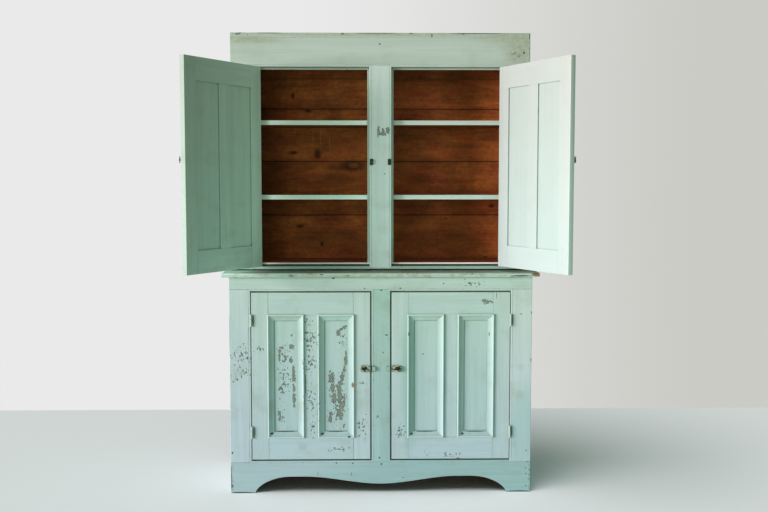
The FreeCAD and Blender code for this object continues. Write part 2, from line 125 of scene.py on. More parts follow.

# wear, as ovals (x, z, half width, half height)
KNOTS = (
    (-401, 1482, 17, 9), (-289, 1476, 15, 21), (-330, 1675, 16, 8), (-270, 1057, 7, 11),
    (-372, 1141, 16, 7), (524, 1235, 13, 8), (311, 1174, 5, 4), (498, 995, 8, 4), (-401, 1745, 8, 14),
)
TAN_KNOTS = ((-121, 1423, 25, 12),)
SCRATCHES = (
    (-392, 1578, 1.5, 13), (-309, 1557, 1.8, 36), (-275, 1557, 1.8, 40), (-232, 1531, 1.5, 48),
)
PATCHES = (  # of the back boards, each with a tone: partly the boards' own tone, partly painted light and shade
    (-140, 1745, 140, 150, 1.22), (-470, 1380, 90, 160, 0.8), (-160, 1060, 190, 90, 0.72),
    (-165, 1416, 90, 20, 0.62), (290, 1770, 300, 130, 0.8), (420, 1420, 170, 200, 1.28),
    (300, 1060, 300, 110, 0.78), (-290, 1590, 120, 50, 0.85),
)
FLAKED = (  # paint gone down to grey wood, in ragged patches
    (-383, 641, 11, 12), (-427, 635, 10, 5), (-436, 620, 6, 15), (-437, 591, 5, 15), (-413, 596, 5, 5),
    (-386, 582, 7, 12), (-377, 545, 5, 12), (-376, 511, 7, 29), (-375, 455, 5, 19), (-375, 416, 7, 28),
    (-377, 381, 5, 9), (-438, 455, 6, 6), (-425, 441, 8, 5), (-439, 348, 5, 10), (-438, 323, 6, 12),
    (-425, 332, 4, 7), (-385, 690, 4, 5), (-315, 702, 9, 5), (-313, 667, 6, 5), (-313, 645, 7, 6),
    (-308, 626, 5, 5), (-325, 476, 3, 46), (-215, 505, 12, 26), (-209, 462, 9, 30), (-202, 418, 11, 24),
    (-151, 609, 4, 16), (-151, 578, 7, 25), (-157, 541, 6, 19), (-166, 508, 9, 22), (-174, 481, 12, 14),
    (-180, 454, 10, 24), (-178, 418, 12, 27), (-171, 381, 13, 24), (-178, 349, 13, 22),
    (-173, 327, 9, 9), (-158, 408, 4, 29), (-213, 346, 10, 9), (-219, 323, 7, 17), (-157, 723, 9, 10),
    (-170, 714, 9, 8), (-183, 699, 10, 10), (-160, 294, 4, 8), (456, 833, 18, 9), (444, 841, 9, 6),
    (-9, 1566, 6, 20), (11, 1556, 20, 8), (31, 1569, 8, 16), (12, 1570, 5, 14), (-382, 951, 8, 5),
)
SPECKED = (  # scattered small chips
    (-600, 596, 40, 40), (-588, 530, 30, 18), (-625, 502, 14, 18), (-524, 633, 24, 12),
    (-415, 590, 26, 50), (-418, 490, 24, 90), (-430, 335, 14, 30), (-310, 750, 24, 12),
    (-300, 676, 26, 46), (-303, 575, 28, 46), (-300, 405, 28, 60), (-290, 300, 14, 40),
    (-165, 665, 14, 32), (-190, 400, 34, 80), (-82, 480, 30, 6), (-78, 290, 22, 44), (-180, 191, 44, 9),
    (87, 266, 22, 36), (196, 172, 12, 14), (300, 166, 44, 10), (386, 912, 46, 14), (580, 946, 34, 5),
    (-15, 340, 16, 14), (142, 948, 14, 4), (-147, 949, 14, 4), (-610, 1985, 34, 6), (349, 1987, 26, 5),
    (575, 1893, 15, 16), (607, 1897, 9, 7), (645, 90, 6, 100), (-645, 60, 6, 60),
)
DARK_DOTS = (  # nail holes, bruises and lines of dirt
    (-193, 131, 3, 3), (-123, 129, 3, 3), (-7, 154, 4, 4), (2, 126, 4, 4), (-70, 892, 3, 3),
    (2, 884, 5, 3), (269, 913, 3, 3), (83, 893, 4, 3), (10, 615, 3, 3), (182, 607, 3, 3),
    (603, 781, 3, 3), (96, 65, 3, 3), (-203, 937, 7, 4), (623, 1906, 5, 5), (600, 1890, 4, 2),
    (-2, 1942, 4, 4), (223, 1978, 3, 8), (132, 1988, 9, 2), (-164, 1985, 6, 3), (18, 1382, 3, 3),
    (-253, 955, 9, 2), (210, 941, 5, 3), (24, 691, 7, 3), (-273, 83, 1, 9), (-128, 82, 1, 9),
    (497, 862, 1.2, 14), (120, 695, 3, 9), (467, 694, 2, 10), (-642, 178, 4, 5), (648, 786, 2, 6),
    (648, 582, 2, 7), (94, 977, 5, 2), (341, 978, 5, 2), (146, 978, 4, 2), (647, 1976, 2, 14),
    (649, 1910, 1.2, 50), (-480, 1988, 60, 1.6), (-20, 1988, 90, 1.4), (420, 1988, 120, 1.8),
    (600, 948, 40, 3), (-600, 2, 50, 4), (600, 2, 50, 4), (-648.5, 66, 3, 60), (-649.5, 700, 0.8, 90),
    (-472, 262, 7, 5), (-253, 260, 7, 5), (-137, 248, 7, 4), (-412, 270, 46, 2), (-195, 269, 41, 2),
    (133, 259, 6, 5), (353, 258, 6, 5), (191, 268, 45, 2), (409, 267, 45, 2),
)
WORN_EDGE = (  # of the waist board
    (662, 951, 22, 9), (-150, 944, 60, 3), (120, 958, 90, 3), (386, 957, 50, 4), (-300, 957, 40, 3),
)
# painted shadows, cast to the right of each base hinge's knuckle
HINGE_SHADOWS = [(x, middle, 4.5, 23) for x in (-547, 565) for middle in (268, 755)]
RUST_DOTS = (
    (-122, 474, 6, 12), (335, 150, 9, 3), (663, 953, 20, 8),
)
DEEPER = (  # where the paint is darker and greener
    (330, 60, 620, 130), (620, 260, 60, 230), (120, 500, 40, 330),
)
STAINS = (  # soft yellow brown dirt
    (600, 1955, 80, 60), (0, 1996, 660, 22), (-560, 1960, 150, 18), (600, 1900, 60, 40),
    (0, 948, 660, 9), (620, 1930, 55, 50), (0, 1984, 660, 5), (646, 1500, 12, 500),
    (560, 1975, 170, 30), (0, 1984, 720, 11), (630, 1930, 40, 90), (-560, 1955, 110, 9),
)


# ---- shader tools
def srgb(hex_colour):
    """sRGB hex to the linear colour that a shader takes."""
    channels = [int(hex_colour[i:i + 2], 16) / 255 for i in (0, 2, 4)]
    linear = [c / 12.92 if c <= 0.04045 else ((c + 0.055) / 1.055) ** 2.4 for c in channels]
    return (*linear, 1.0)


def add(tree, kind, *inputs, out=0, **settings):
    """Adds one shader node. Inputs go in socket order, None leaves one alone. Gives output number out."""
    made = tree.nodes.new("ShaderNode" + kind)
    for name, value in settings.items():
        setattr(made, name, value)
    for socket, value in zip(made.inputs, inputs):
        if isinstance(value, bpy.types.NodeSocket):
            tree.links.new(value, socket)
        elif value is not None:
            socket.default_value = value
    return made.outputs[out]


def lumps(tree, place, size, detail, rough, seed=0.0):
    """Soft random pattern round 0.5, whose lumps are size (x, y, z) in mm."""
    spread = add(tree, "Mapping", place, (seed, seed * 0.7, seed * 1.3), None, [1 / (s * MM) for s in size])
    return add(tree, "TexNoise", spread, None, 1.0, detail, rough)


def with_grain(grain, long, across):
    """Size in mm of a lump that runs with the grain."""
    return (long, across, across) if grain == ALONG_X else (across, across, long)


def nearest(tree, place, spots):
    """Distance to the nearest of some ovals, which is 1 at their rims."""
    closest = None
    for x, z, rx, rz in spots:
        scale = (1 / (rx * MM), 0, 1 / (rz * MM))
        offset = add(tree, "VectorMath", place, scale, (-x / rx, 0, -z / rz), operation="MULTIPLY_ADD")
        far = add(tree, "VectorMath", offset, out=1, operation="LENGTH")
        closest = far if closest is None else add(tree, "Math", closest, far, operation="MINIMUM")
    return closest


def over(tree, mask, below, above):
    """Lays the layers (colour, roughness, height) above over those below where mask is 1."""
    colour = add(tree, "MixRGB", mask, below[0], above[0])
    rest = [add(tree, "Mix", mask, None, a, b) for a, b in zip(below[1:], above[1:])]
    return (colour, *rest)


def through(tree, value, points):
    """A value's height on the bent line through points (value in mm, height)."""
    (first, height), second = points[0], points[1]
    line = add(tree, "MapRange", value, first * MM, second[0] * MM, height, second[1])
    for (here, low), (there, high) in zip(points[1:], points[2:]):
        climb = add(tree, "MapRange", value, here * MM, there * MM, 0.0, high - low)
        line = add(tree, "Math", line, climb, operation="ADD")
    return line


def on_node(node, spots, margin=12):
    """Those of the spots that lie on a node. The sides have none, as the lists are the fronts' own."""
    if node.endswith(SIDES):
        return []
    low, high = (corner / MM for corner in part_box(node))
    return [s for s in spots
            if low.x - margin < s[0] < high.x + margin and low.z - margin < s[1] < high.z + margin]


def front_end(node):
    """The y in mm behind which a node's wear is no longer that of its front."""
    if "door" in node:
        return BASE_FRONT + 12
    return {"upper": UPPER_FRONT + 3, "waist": WAIST_FRONT + 6}.get(node.split("_")[0], BASE_FRONT + 6)


def own_place(tree, door=None):
    """Object coordinates, turned back to the closed place for a door that stands open."""
    place = add(tree, "TexCoord", out=3)
    if door and DOORS[door][1]:
        (pin_x, pin_y), opened = DOORS[door]
        turn = math.radians(-opened)
        pin = Vector((pin_x, pin_y, 0)) * MM
        shift = pin - Matrix.Rotation(turn, 3, "Z") @ pin
        place = add(tree, "Mapping", place, shift, (0, 0, turn))
    return place


def dress(name, make_layers, shine=PAINT_SHINE):
    """A material whose surface is the layers (colour, roughness, height) that make_layers(tree) gives."""
    material = bpy.data.materials.new(name)
    material.use_nodes = True
    tree = material.node_tree
    shader = tree.nodes["Principled BSDF"]
    shader.inputs["Specular IOR Level"].default_value = shine
    colour, rough, height = make_layers(tree)
    tree.links.new(colour, shader.inputs["Base Color"])
    tree.links.new(rough, shader.inputs["Roughness"])
    tree.links.new(add(tree, "Bump", 0.6, MM, None, height), shader.inputs["Normal"])
    return material


# ---- finishes
def pine(tree, place, grain, seed=0.0, boards=(), light_and_shade_along_x=(), knots=(), tan_knots=(), patches=(),
         scratches=()):
    """Old bare pine, cut on the flat: long figure that wraps round its knots, fine pores and saw marks.

    boards gives the foot and the tone of each board, from the lowest, and smoked the painted shade and light
    along x.
    The rest are ovals: patches change the tone, partly the wood's own and partly painted light and shade, and
    scratches are thin and pale.
    """
    dark, light = map(srgb, PINE)
    figure = lumps(tree, place, with_grain(grain, 832, 85), 1.0, 0.5, seed)
    if knots or tan_knots:
        far = nearest(tree, place, (*knots, *tan_knots))
        wrap = add(tree, "MapRange", far, 2.8, 0.2, 0.0, 0.45, **SMOOTH)
        figure = add(tree, "Math", figure, wrap, operation="ADD")
    rings = add(tree, "Math", add(tree, "Math", figure, 62.0, operation="MULTIPLY"), operation="SINE")
    rings = add(tree, "MapRange", rings, -1.0, 1.0, 0.35, 0.65)
    streaks = lumps(tree, place, with_grain(grain, 520, 5), 3.0, 0.6, seed + 3)
    broad = lumps(tree, place, with_grain(grain, 208, 42), 3.0, 0.55, seed + 7)
    pores = lumps(tree, place, with_grain(grain, 40, 1.6), 2.0, 0.6, seed + 9)
    mottle = lumps(tree, place, with_grain(grain, 18, 14), 3.0, 0.7, seed + 15)
    tone = add(tree, "Math", rings, 0.22, operation="MULTIPLY")
    for pattern, weight in ((streaks, 0.28), (broad, 0.36), (pores, 0.19), (mottle, 0.45)):
        tone = add(tree, "Math", pattern, weight, tone, operation="MULTIPLY_ADD")
    tone = add(tree, "MapRange", tone, 0.48, 1.0, 0.0, 1.0)
    colour = add(tree, "MixRGB", tone, dark, light)
    # old smoke and handling: darker clouds, and a redder cast here and there
    clouds = lumps(tree, place, with_grain(grain, 170, 90), 4.0, 0.6, seed + 21)
    smoke_and_shade = add(tree, "MapRange", clouds, 0.34, 0.62, 1.15, 0.68)
    colour = add(tree, "VectorMath", colour, None, None, smoke_and_shade, **SCALED)
    red = lumps(tree, place, with_grain(grain, 130, 70), 3.0, 0.6, seed + 27)
    red = add(tree, "MapRange", red, 0.46, 0.66, 0.0, 0.8, **SMOOTH)
    redder = add(tree, "VectorMath", colour, (1.05, 0.80, 1.0), operation="MULTIPLY")
    colour = add(tree, "MixRGB", red, colour, redder)
    saw = lumps(tree, place, with_grain(grain, 4, 60), 1.0, 0.5, seed + 11)
    saw = add(tree, "MapRange", saw, 0.64, 0.80, 0.0, 0.20, **SMOOTH)
    colour = add(tree, "MixRGB", saw, colour, light)
    if knots:
        heart = add(tree, "MapRange", nearest(tree, place, knots), 1.7, 0.3, 0.0, 0.85, **SMOOTH)
        colour = add(tree, "MixRGB", heart, colour, srgb(KNOT))
    if tan_knots:
        far = nearest(tree, place, tan_knots)
        ring = add(tree, "MapRange", far, 3.0, 1.1, 1.0, 0.45, **SMOOTH)
        colour = add(tree, "VectorMath", colour, None, None, ring, **SCALED)
        heart = add(tree, "MapRange", far, 1.05, 0.85, 0.0, 0.8, **SMOOTH)
        colour = add(tree, "MixRGB", heart, colour, srgb(TAN_KNOT))
    for *oval, share in patches:
        far = add(tree, "Math", clouds, 0.5, nearest(tree, place, [oval]), operation="MULTIPLY_ADD")
        patch = add(tree, "MapRange", far, 1.45, 0.55, 1.0, share, **SMOOTH)
        colour = add(tree, "VectorMath", colour, None, None, patch, **SCALED)
    if scratches:
        pale = add(tree, "MapRange", nearest(tree, place, scratches), 1.3, 0.5, 0.0, 0.5, **SMOOTH)
        colour = add(tree, "MixRGB", pale, colour, srgb(SCRATCH))
    # painted shade and light along x
    if light_and_shade_along_x:
        smoke_and_shade = through(tree, add(tree, "SeparateXYZ", place), light_and_shade_along_x)
        colour = add(tree, "VectorMath", colour, None, None, smoke_and_shade, **SCALED)
    if boards:
        z = add(tree, "SeparateXYZ", place, out=2)
        wander = lumps(tree, place, (160, 160, 160), 2.0, 0.5, seed + 5)
        colour = add(tree, "VectorMath", colour, None, None, boards[0][1], **SCALED)
        for (_, tone_below), (seam, tone_here) in zip(boards, boards[1:]):
            off = add(tree, "Math", z, (seam + 0.75) * MM, operation="SUBTRACT")
            off = add(tree, "Math", wander, 1.5 * MM, off, operation="MULTIPLY_ADD")
            off = add(tree, "Math", off, operation="ABSOLUTE")
            dark_share = 0.3 if seam == TIGHT_SEAM else 0.85
            gap = add(tree, "MapRange", off, 3.6 * MM, 0.7 * MM, 0.0, dark_share, **SMOOTH)
            above = add(tree, "Math", z, seam * MM, operation="GREATER_THAN")
            step = add(tree, "Math", above, tone_here / tone_below - 1, 1.0, operation="MULTIPLY_ADD")
            # painted shade beside each seam
            shade = add(tree, "MapRange", off, 22 * MM, 0.0, 1.0, 0.80)
            step = add(tree, "Math", step, shade, operation="MULTIPLY")
            colour = add(tree, "VectorMath", colour, None, None, step, **SCALED)
            colour = add(tree, "MixRGB", gap, colour, srgb(BOARD_GAP))
    rough = add(tree, "MapRange", pores, 0.3, 0.7, 0.60, 0.76)
    return colour, rough, add(tree, "Math", tone, 0.5, operation="MULTIPLY")


def grey_wood(tree, place, grain):
    """Wood where the paint has gone: pine weathered to a grey brown."""
    streaks = lumps(tree, place, with_grain(grain, 60, 2.2), 3.0, 0.6, 2.0)
    colour = add(tree, "MixRGB", streaks, *map(srgb, GREY_WOOD))
    rough = add(tree, "MapRange", streaks, 0.3, 0.7, 0.75, 0.9)
    return colour, rough, add(tree, "Math", streaks, 0.3, operation="MULTIPLY")


def chipped(tree, place, grain, layers, node):
    """Breaks the paint layers open to the wood, in ragged chips with dark rims, a painted shadow of the
    paint's edge, where the wear lists say.
    """
    depth = None
    # size of the ragged pattern in mm, and its level past which paint is gone, at a spot's heart and its rim
    for spots, long, across, heart, rim in ((FLAKED, 11, 8, 0.26, 0.62), (SPECKED, 13, 9, 0.525, 0.63)):
        if near := on_node(node, spots):
            ragged = lumps(tree, place, with_grain(grain, long, across), 4.0, 0.62, 20.0)
            far = nearest(tree, place, near)
            needed = add(tree, "MapRange", far, 0.2, 1.35, heart, rim)
            closed = add(tree, "Math", far, 1.6, operation="GREATER_THAN")
            inside = add(tree, "SeparateXYZ", place, out=1)
            inside = add(tree, "Math", inside, front_end(node) * MM, operation="GREATER_THAN")
            closed = add(tree, "Math", closed, inside, operation="ADD")
            needed = add(tree, "Math", needed, closed, operation="ADD")
            here = add(tree, "Math", ragged, needed, operation="SUBTRACT")
            depth = here if depth is None else add(tree, "Math", depth, here, operation="MAXIMUM")
    if depth is None:
        return layers
    bare = add(tree, "MapRange", depth, 0.0, 0.02, 0.0, 1.0, **SMOOTH)
    heart = add(tree, "MapRange", depth, 0.04, 0.12, 0.0, 1.0, **SMOOTH)
    wood, rough, relief = grey_wood(tree, place, grain)
    # a painted shadow darkens each chip's rim
    wood = add(tree, "MixRGB", heart, srgb(CHIP_RIM_SHADOW), wood)
    sunk = add(tree, "Math", relief, -0.6, operation="ADD")
    return over(tree, bare, layers, (wood, rough, sunk))


def mint(tree, place, grain, node, tint=EVEN, joints=(), seed=0.0, roll=None, dirt_and_shade=0.85, crack=0.9,
         brushed=1.0):
    """Old brushed mint paint: bluer near the floor, yellower toward the top, chipped and flaked.

    tint multiplies this board's red, green and blue.
    joints are hairline cracks where boards meet, as (axis, place in mm), and crack is how dark they are.
    roll is the y of the door's face behind a moulding, whose roll is painted paler, as hand wear and as a
    painted highlight, and whose foot gets a painted shadow.
    dirt sets how thick grime lies and how dark the painted shade in corners is, and brushed how much the
    brush marks show.
    """
    x, y, z = (add(tree, "SeparateXYZ", place, out=i) for i in range(3))
    leaning = add(tree, "Math", x, 0.06, z, operation="MULTIPLY_ADD")
    waist = add(tree, "MapRange", leaning, 0.20, 0.95, 0.0, 1.0)
    top = add(tree, "MapRange", z, 1.0, 1.95, 0.0, 1.0, **SMOOTH)
    colour = add(tree, "MixRGB", waist, srgb(MINT_LOW), srgb(MINT_WAIST))
    colour = add(tree, "MixRGB", top, colour, srgb(MINT_TOP))
    colour = add(tree, "VectorMath", colour, tint, operation="MULTIPLY")
    if spots := on_node(node, DEEPER):
        deep = add(tree, "MapRange", nearest(tree, place, spots), 1.25, 0.55, 0.0, 0.9, **SMOOTH)
        deeper = add(tree, "VectorMath", colour, DEEP, operation="MULTIPLY")
        colour = add(tree, "MixRGB", deep, colour, deeper)
    # brush marks: bristle lines with the grain, drawn 3 mm wide because finer ones don't show
    bristles = lumps(tree, place, with_grain(grain, 150, 3), 3.0, 0.6, seed)
    broad = lumps(tree, place, with_grain(grain, 420, 22), 2.0, 0.5, seed + 4)
    marks = add(tree, "Math", broad, 0.5, operation="MULTIPLY")
    marks = add(tree, "Math", bristles, 0.5, marks, operation="MULTIPLY_ADD")
    streaks = add(tree, "MapRange", marks, 0.3, 0.7, 1 - 0.10 * brushed, 1 + 0.09 * brushed)
    colour = add(tree, "VectorMath", colour, None, None, streaks, **SCALED)
    # grime: yellow grey clouds, thick over the stains
    clouds = lumps(tree, place, (150, 150, 110), 4.0, 0.6, seed + 8)
    grime = add(tree, "MapRange", clouds, 0.50, 0.80, 0.0, 0.41 * dirt_and_shade, **SMOOTH)
    if spots := on_node(node, STAINS):
        stain = add(tree, "MapRange", nearest(tree, place, spots), 1.5, 0.2, 0.0, 0.8, **SMOOTH)
        mottle = lumps(tree, place, (26, 26, 18), 4.0, 0.65, 31.0)
        mottle = add(tree, "MapRange", mottle, 0.35, 0.65, 0.35, 1.0)
        stain = add(tree, "Math", stain, mottle, operation="MULTIPLY")
        grime = add(tree, "Math", grime, stain, operation="MAXIMUM")
    colour = add(tree, "MixRGB", grime, colour, srgb(GRIME))
    # painted shade, with grime, in every corner, crease and gap: darker where the AO finds little open around
    open_share = add(tree, "AmbientOcclusion", None, 11 * MM, out=1, samples=8)
    corner = add(tree, "MapRange", open_share, 0.35, 0.80, dirt_and_shade, 0.0)
    colour = add(tree, "MixRGB", corner, colour, srgb(CORNER_DIRT_AND_SHADE))
    # arrises: painted paler, as worn pale by hands and as a painted highlight, and knocked down to wood in
    # places
    rounded = add(tree, "Bevel", 2.5 * MM, samples=4)
    facing = add(tree, "NewGeometry", out=1)
    flatness = add(tree, "VectorMath", rounded, facing, out=1, operation="DOT_PRODUCT")
    arris = add(tree, "MapRange", flatness, 0.99, 0.88, 0.0, 1.0)
    rub_and_highlight = lumps(tree, place, (60, 60, 60), 2.0, 0.5, seed + 16)
    rub_and_highlight = add(tree, "MapRange", rub_and_highlight, 0.35, 0.65, 0.1, 0.5)
    rub_and_highlight = add(tree, "Math", arris, rub_and_highlight, operation="MULTIPLY")
    colour = add(tree, "MixRGB", rub_and_highlight, colour, srgb(ARRIS_RUB_AND_HIGHLIGHT))
    knocks = lumps(tree, place, with_grain(grain, 16, 7), 3.0, 0.65, seed + 18)
    knocks = add(tree, "MapRange", knocks, 0.60, 0.64, 0.0, 0.85, **SMOOTH)
    knocks = add(tree, "Math", arris, knocks, operation="MULTIPLY")
    colour = add(tree, "MixRGB", knocks, colour, srgb(KNOCKED))
    if roll is not None:
        # the roll painted paler, as hand wear and as a painted highlight; a painted shadow along the foot
        rubbed_and_highlit = add(tree, "MapRange", y, (roll - 4.2) * MM, (roll - 5.6) * MM, 0.0, 0.42)
        colour = add(tree, "MixRGB", rubbed_and_highlit, colour, srgb(ROLL_RUB_AND_HIGHLIGHT))
        foot = add(tree, "MapRange", y, (roll + 4.8) * MM, (roll + 5.8) * MM, 0.0, 0.4)
        colour = add(tree, "MixRGB", foot, colour, srgb(FOOT_SHADOW))
    # pinpricks: tiny chips everywhere, more in patches
    pricks = lumps(tree, place, (6, 6, 7), 2.0, 0.6, seed + 12)
    patchy = lumps(tree, place, (90, 90, 90), 2.0, 0.5, seed + 14)
    pricks = add(tree, "Math", patchy, 0.35, pricks, operation="MULTIPLY_ADD")
    pricks = add(tree, "MapRange", pricks, 0.93, 0.99, 0.0, 0.6, **SMOOTH)
    colour = add(tree, "MixRGB", pricks, colour, srgb(PINPRICK))
    rough = add(tree, "MapRange", marks, 0.3, 0.7, 0.58, 0.74)
    relief = add(tree, "Math", marks, 0.35, operation="MULTIPLY")
    layers = chipped(tree, place, grain, (colour, rough, relief), node)

    dark = []
    spread = lumps(tree, place, (7, 7, 7), 2.0, 0.6, 50.0)
    if spots := on_node(node, DARK_DOTS):
        far = add(tree, "Math", nearest(tree, place, spots), spread, operation="ADD")
        dark.append(add(tree, "MapRange", far, 1.65, 1.25, 0.0, 0.9, **SMOOTH))
    # painted shadow to the right of each hinge knuckle
    if on_node(node, HINGE_SHADOWS, -1):
        far = nearest(tree, place, HINGE_SHADOWS)
        dark.append(add(tree, "MapRange", far, 1.3, 0.6, 0.0, 0.7, **SMOOTH))
    for axis, where in joints:
        off = add(tree, "Math", {"x": x, "z": z}[axis], where * MM, operation="SUBTRACT")
        off = add(tree, "Math", off, operation="ABSOLUTE")
        broken = lumps(tree, place, (30, 30, 30), 2.0, 0.6, abs(where))
        broken = add(tree, "MapRange", broken, 0.35, 0.65, crack * 0.4, crack)
        off = add(tree, "MapRange", off, 2.2 * MM, 0.4 * MM, 0.0, 1.0, **SMOOTH)
        dark.append(add(tree, "Math", off, broken, operation="MULTIPLY"))
    face = add(tree, "Math", y, front_end(node) * MM, operation="LESS_THAN")
    for mask in dark:
        mask = add(tree, "Math", mask, face, operation="MULTIPLY")
        layers = over(tree, mask, layers, (srgb(CRACK_DIRT_AND_SHADOW), 0.8, -0.5))
    if spots := on_node(node, RUST_DOTS):
        far = add(tree, "Math", nearest(tree, place, spots), spread, operation="ADD")
        mask = add(tree, "MapRange", far, 1.7, 1.1, 0.0, 0.9, **SMOOTH)
        layers = over(tree, mask, layers, (srgb(RUST), 0.8, -0.4))
    return layers


def mint_and_pine(node, grain, bare_test=None, **paint):
    """Mint paint, with bare brown pine where bare_test(tree, x, y, z) says so."""
    def layers(tree):
        place = own_place(tree)
        painted = mint(tree, place, grain, node, **paint)
        if not bare_test:
            return painted
        x, y, z = (add(tree, "SeparateXYZ", place, out=i) for i in range(3))
        return over(tree, bare_test(tree, x, y, z), painted, pine(tree, place, grain))
    return layers


def behind(limit):
    """Bare where y is past limit."""
    return lambda tree, x, y, z: add(tree, "Math", y, limit * MM, operation="GREATER_THAN")


def within_case(tree, x, y, z):
    """Bare on the inner side of a side board."""
    from_middle = add(tree, "Math", x, operation="ABSOLUTE")
    return add(tree, "Math", from_middle, (INNER_HALF + 1) * MM, operation="LESS_THAN")


def iron(name, metal=JAPAN, paint=0.0, bare_spots=(), coat=CATCH_COAT):
    """Cast iron under old japan, olive black. With paint above 0 it is brushed over and worn bare again.

    metal is a dark and a light colour, coat the paint's where dirty and where clean, and bare_spots are
    the ovals that hands have kept bare.
    """
    def layers(tree):
        place = own_place(tree)
        rust = lumps(tree, place, (4, 4, 4), 3.0, 0.6)
        colour = add(tree, "MixRGB", rust, *map(srgb, metal))
        rough = add(tree, "MapRange", rust, 0.3, 0.7, 0.50, 0.75)
        if paint:
            patches = lumps(tree, place, (9, 9, 9), 4.0, 0.65, 4.0)
            if bare_spots:
                held = nearest(tree, place, bare_spots)
                held = add(tree, "MapRange", held, 0.5, 1.6, 0.30, 0.0, **SMOOTH)
                patches = add(tree, "Math", patches, held, operation="SUBTRACT")
            mask = add(tree, "MapRange", patches, 0.56 - paint, 0.62 - paint, 0.0, 1.0, **SMOOTH)
            grime = lumps(tree, place, (12, 12, 12), 3.0, 0.6, 9.0)
            old_paint = add(tree, "MixRGB", grime, *map(srgb, coat))
            colour = add(tree, "MixRGB", mask, colour, old_paint)
            rough = add(tree, "Mix", mask, None, rough, 0.6)
        return colour, rough, rust
    return dress("Japanned cast iron, " + name, layers, IRON_SHINE)


def give(node, material):
    """Puts a material on a CAD node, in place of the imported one."""
    nodes[node].data.materials.clear()
    nodes[node].data.materials.append(material)


def cover(node, finish, make_layers, shine=PAINT_SHINE):
    """Gives a CAD node a finish of its own."""
    give(node, dress(finish + ", " + node, make_layers, shine))


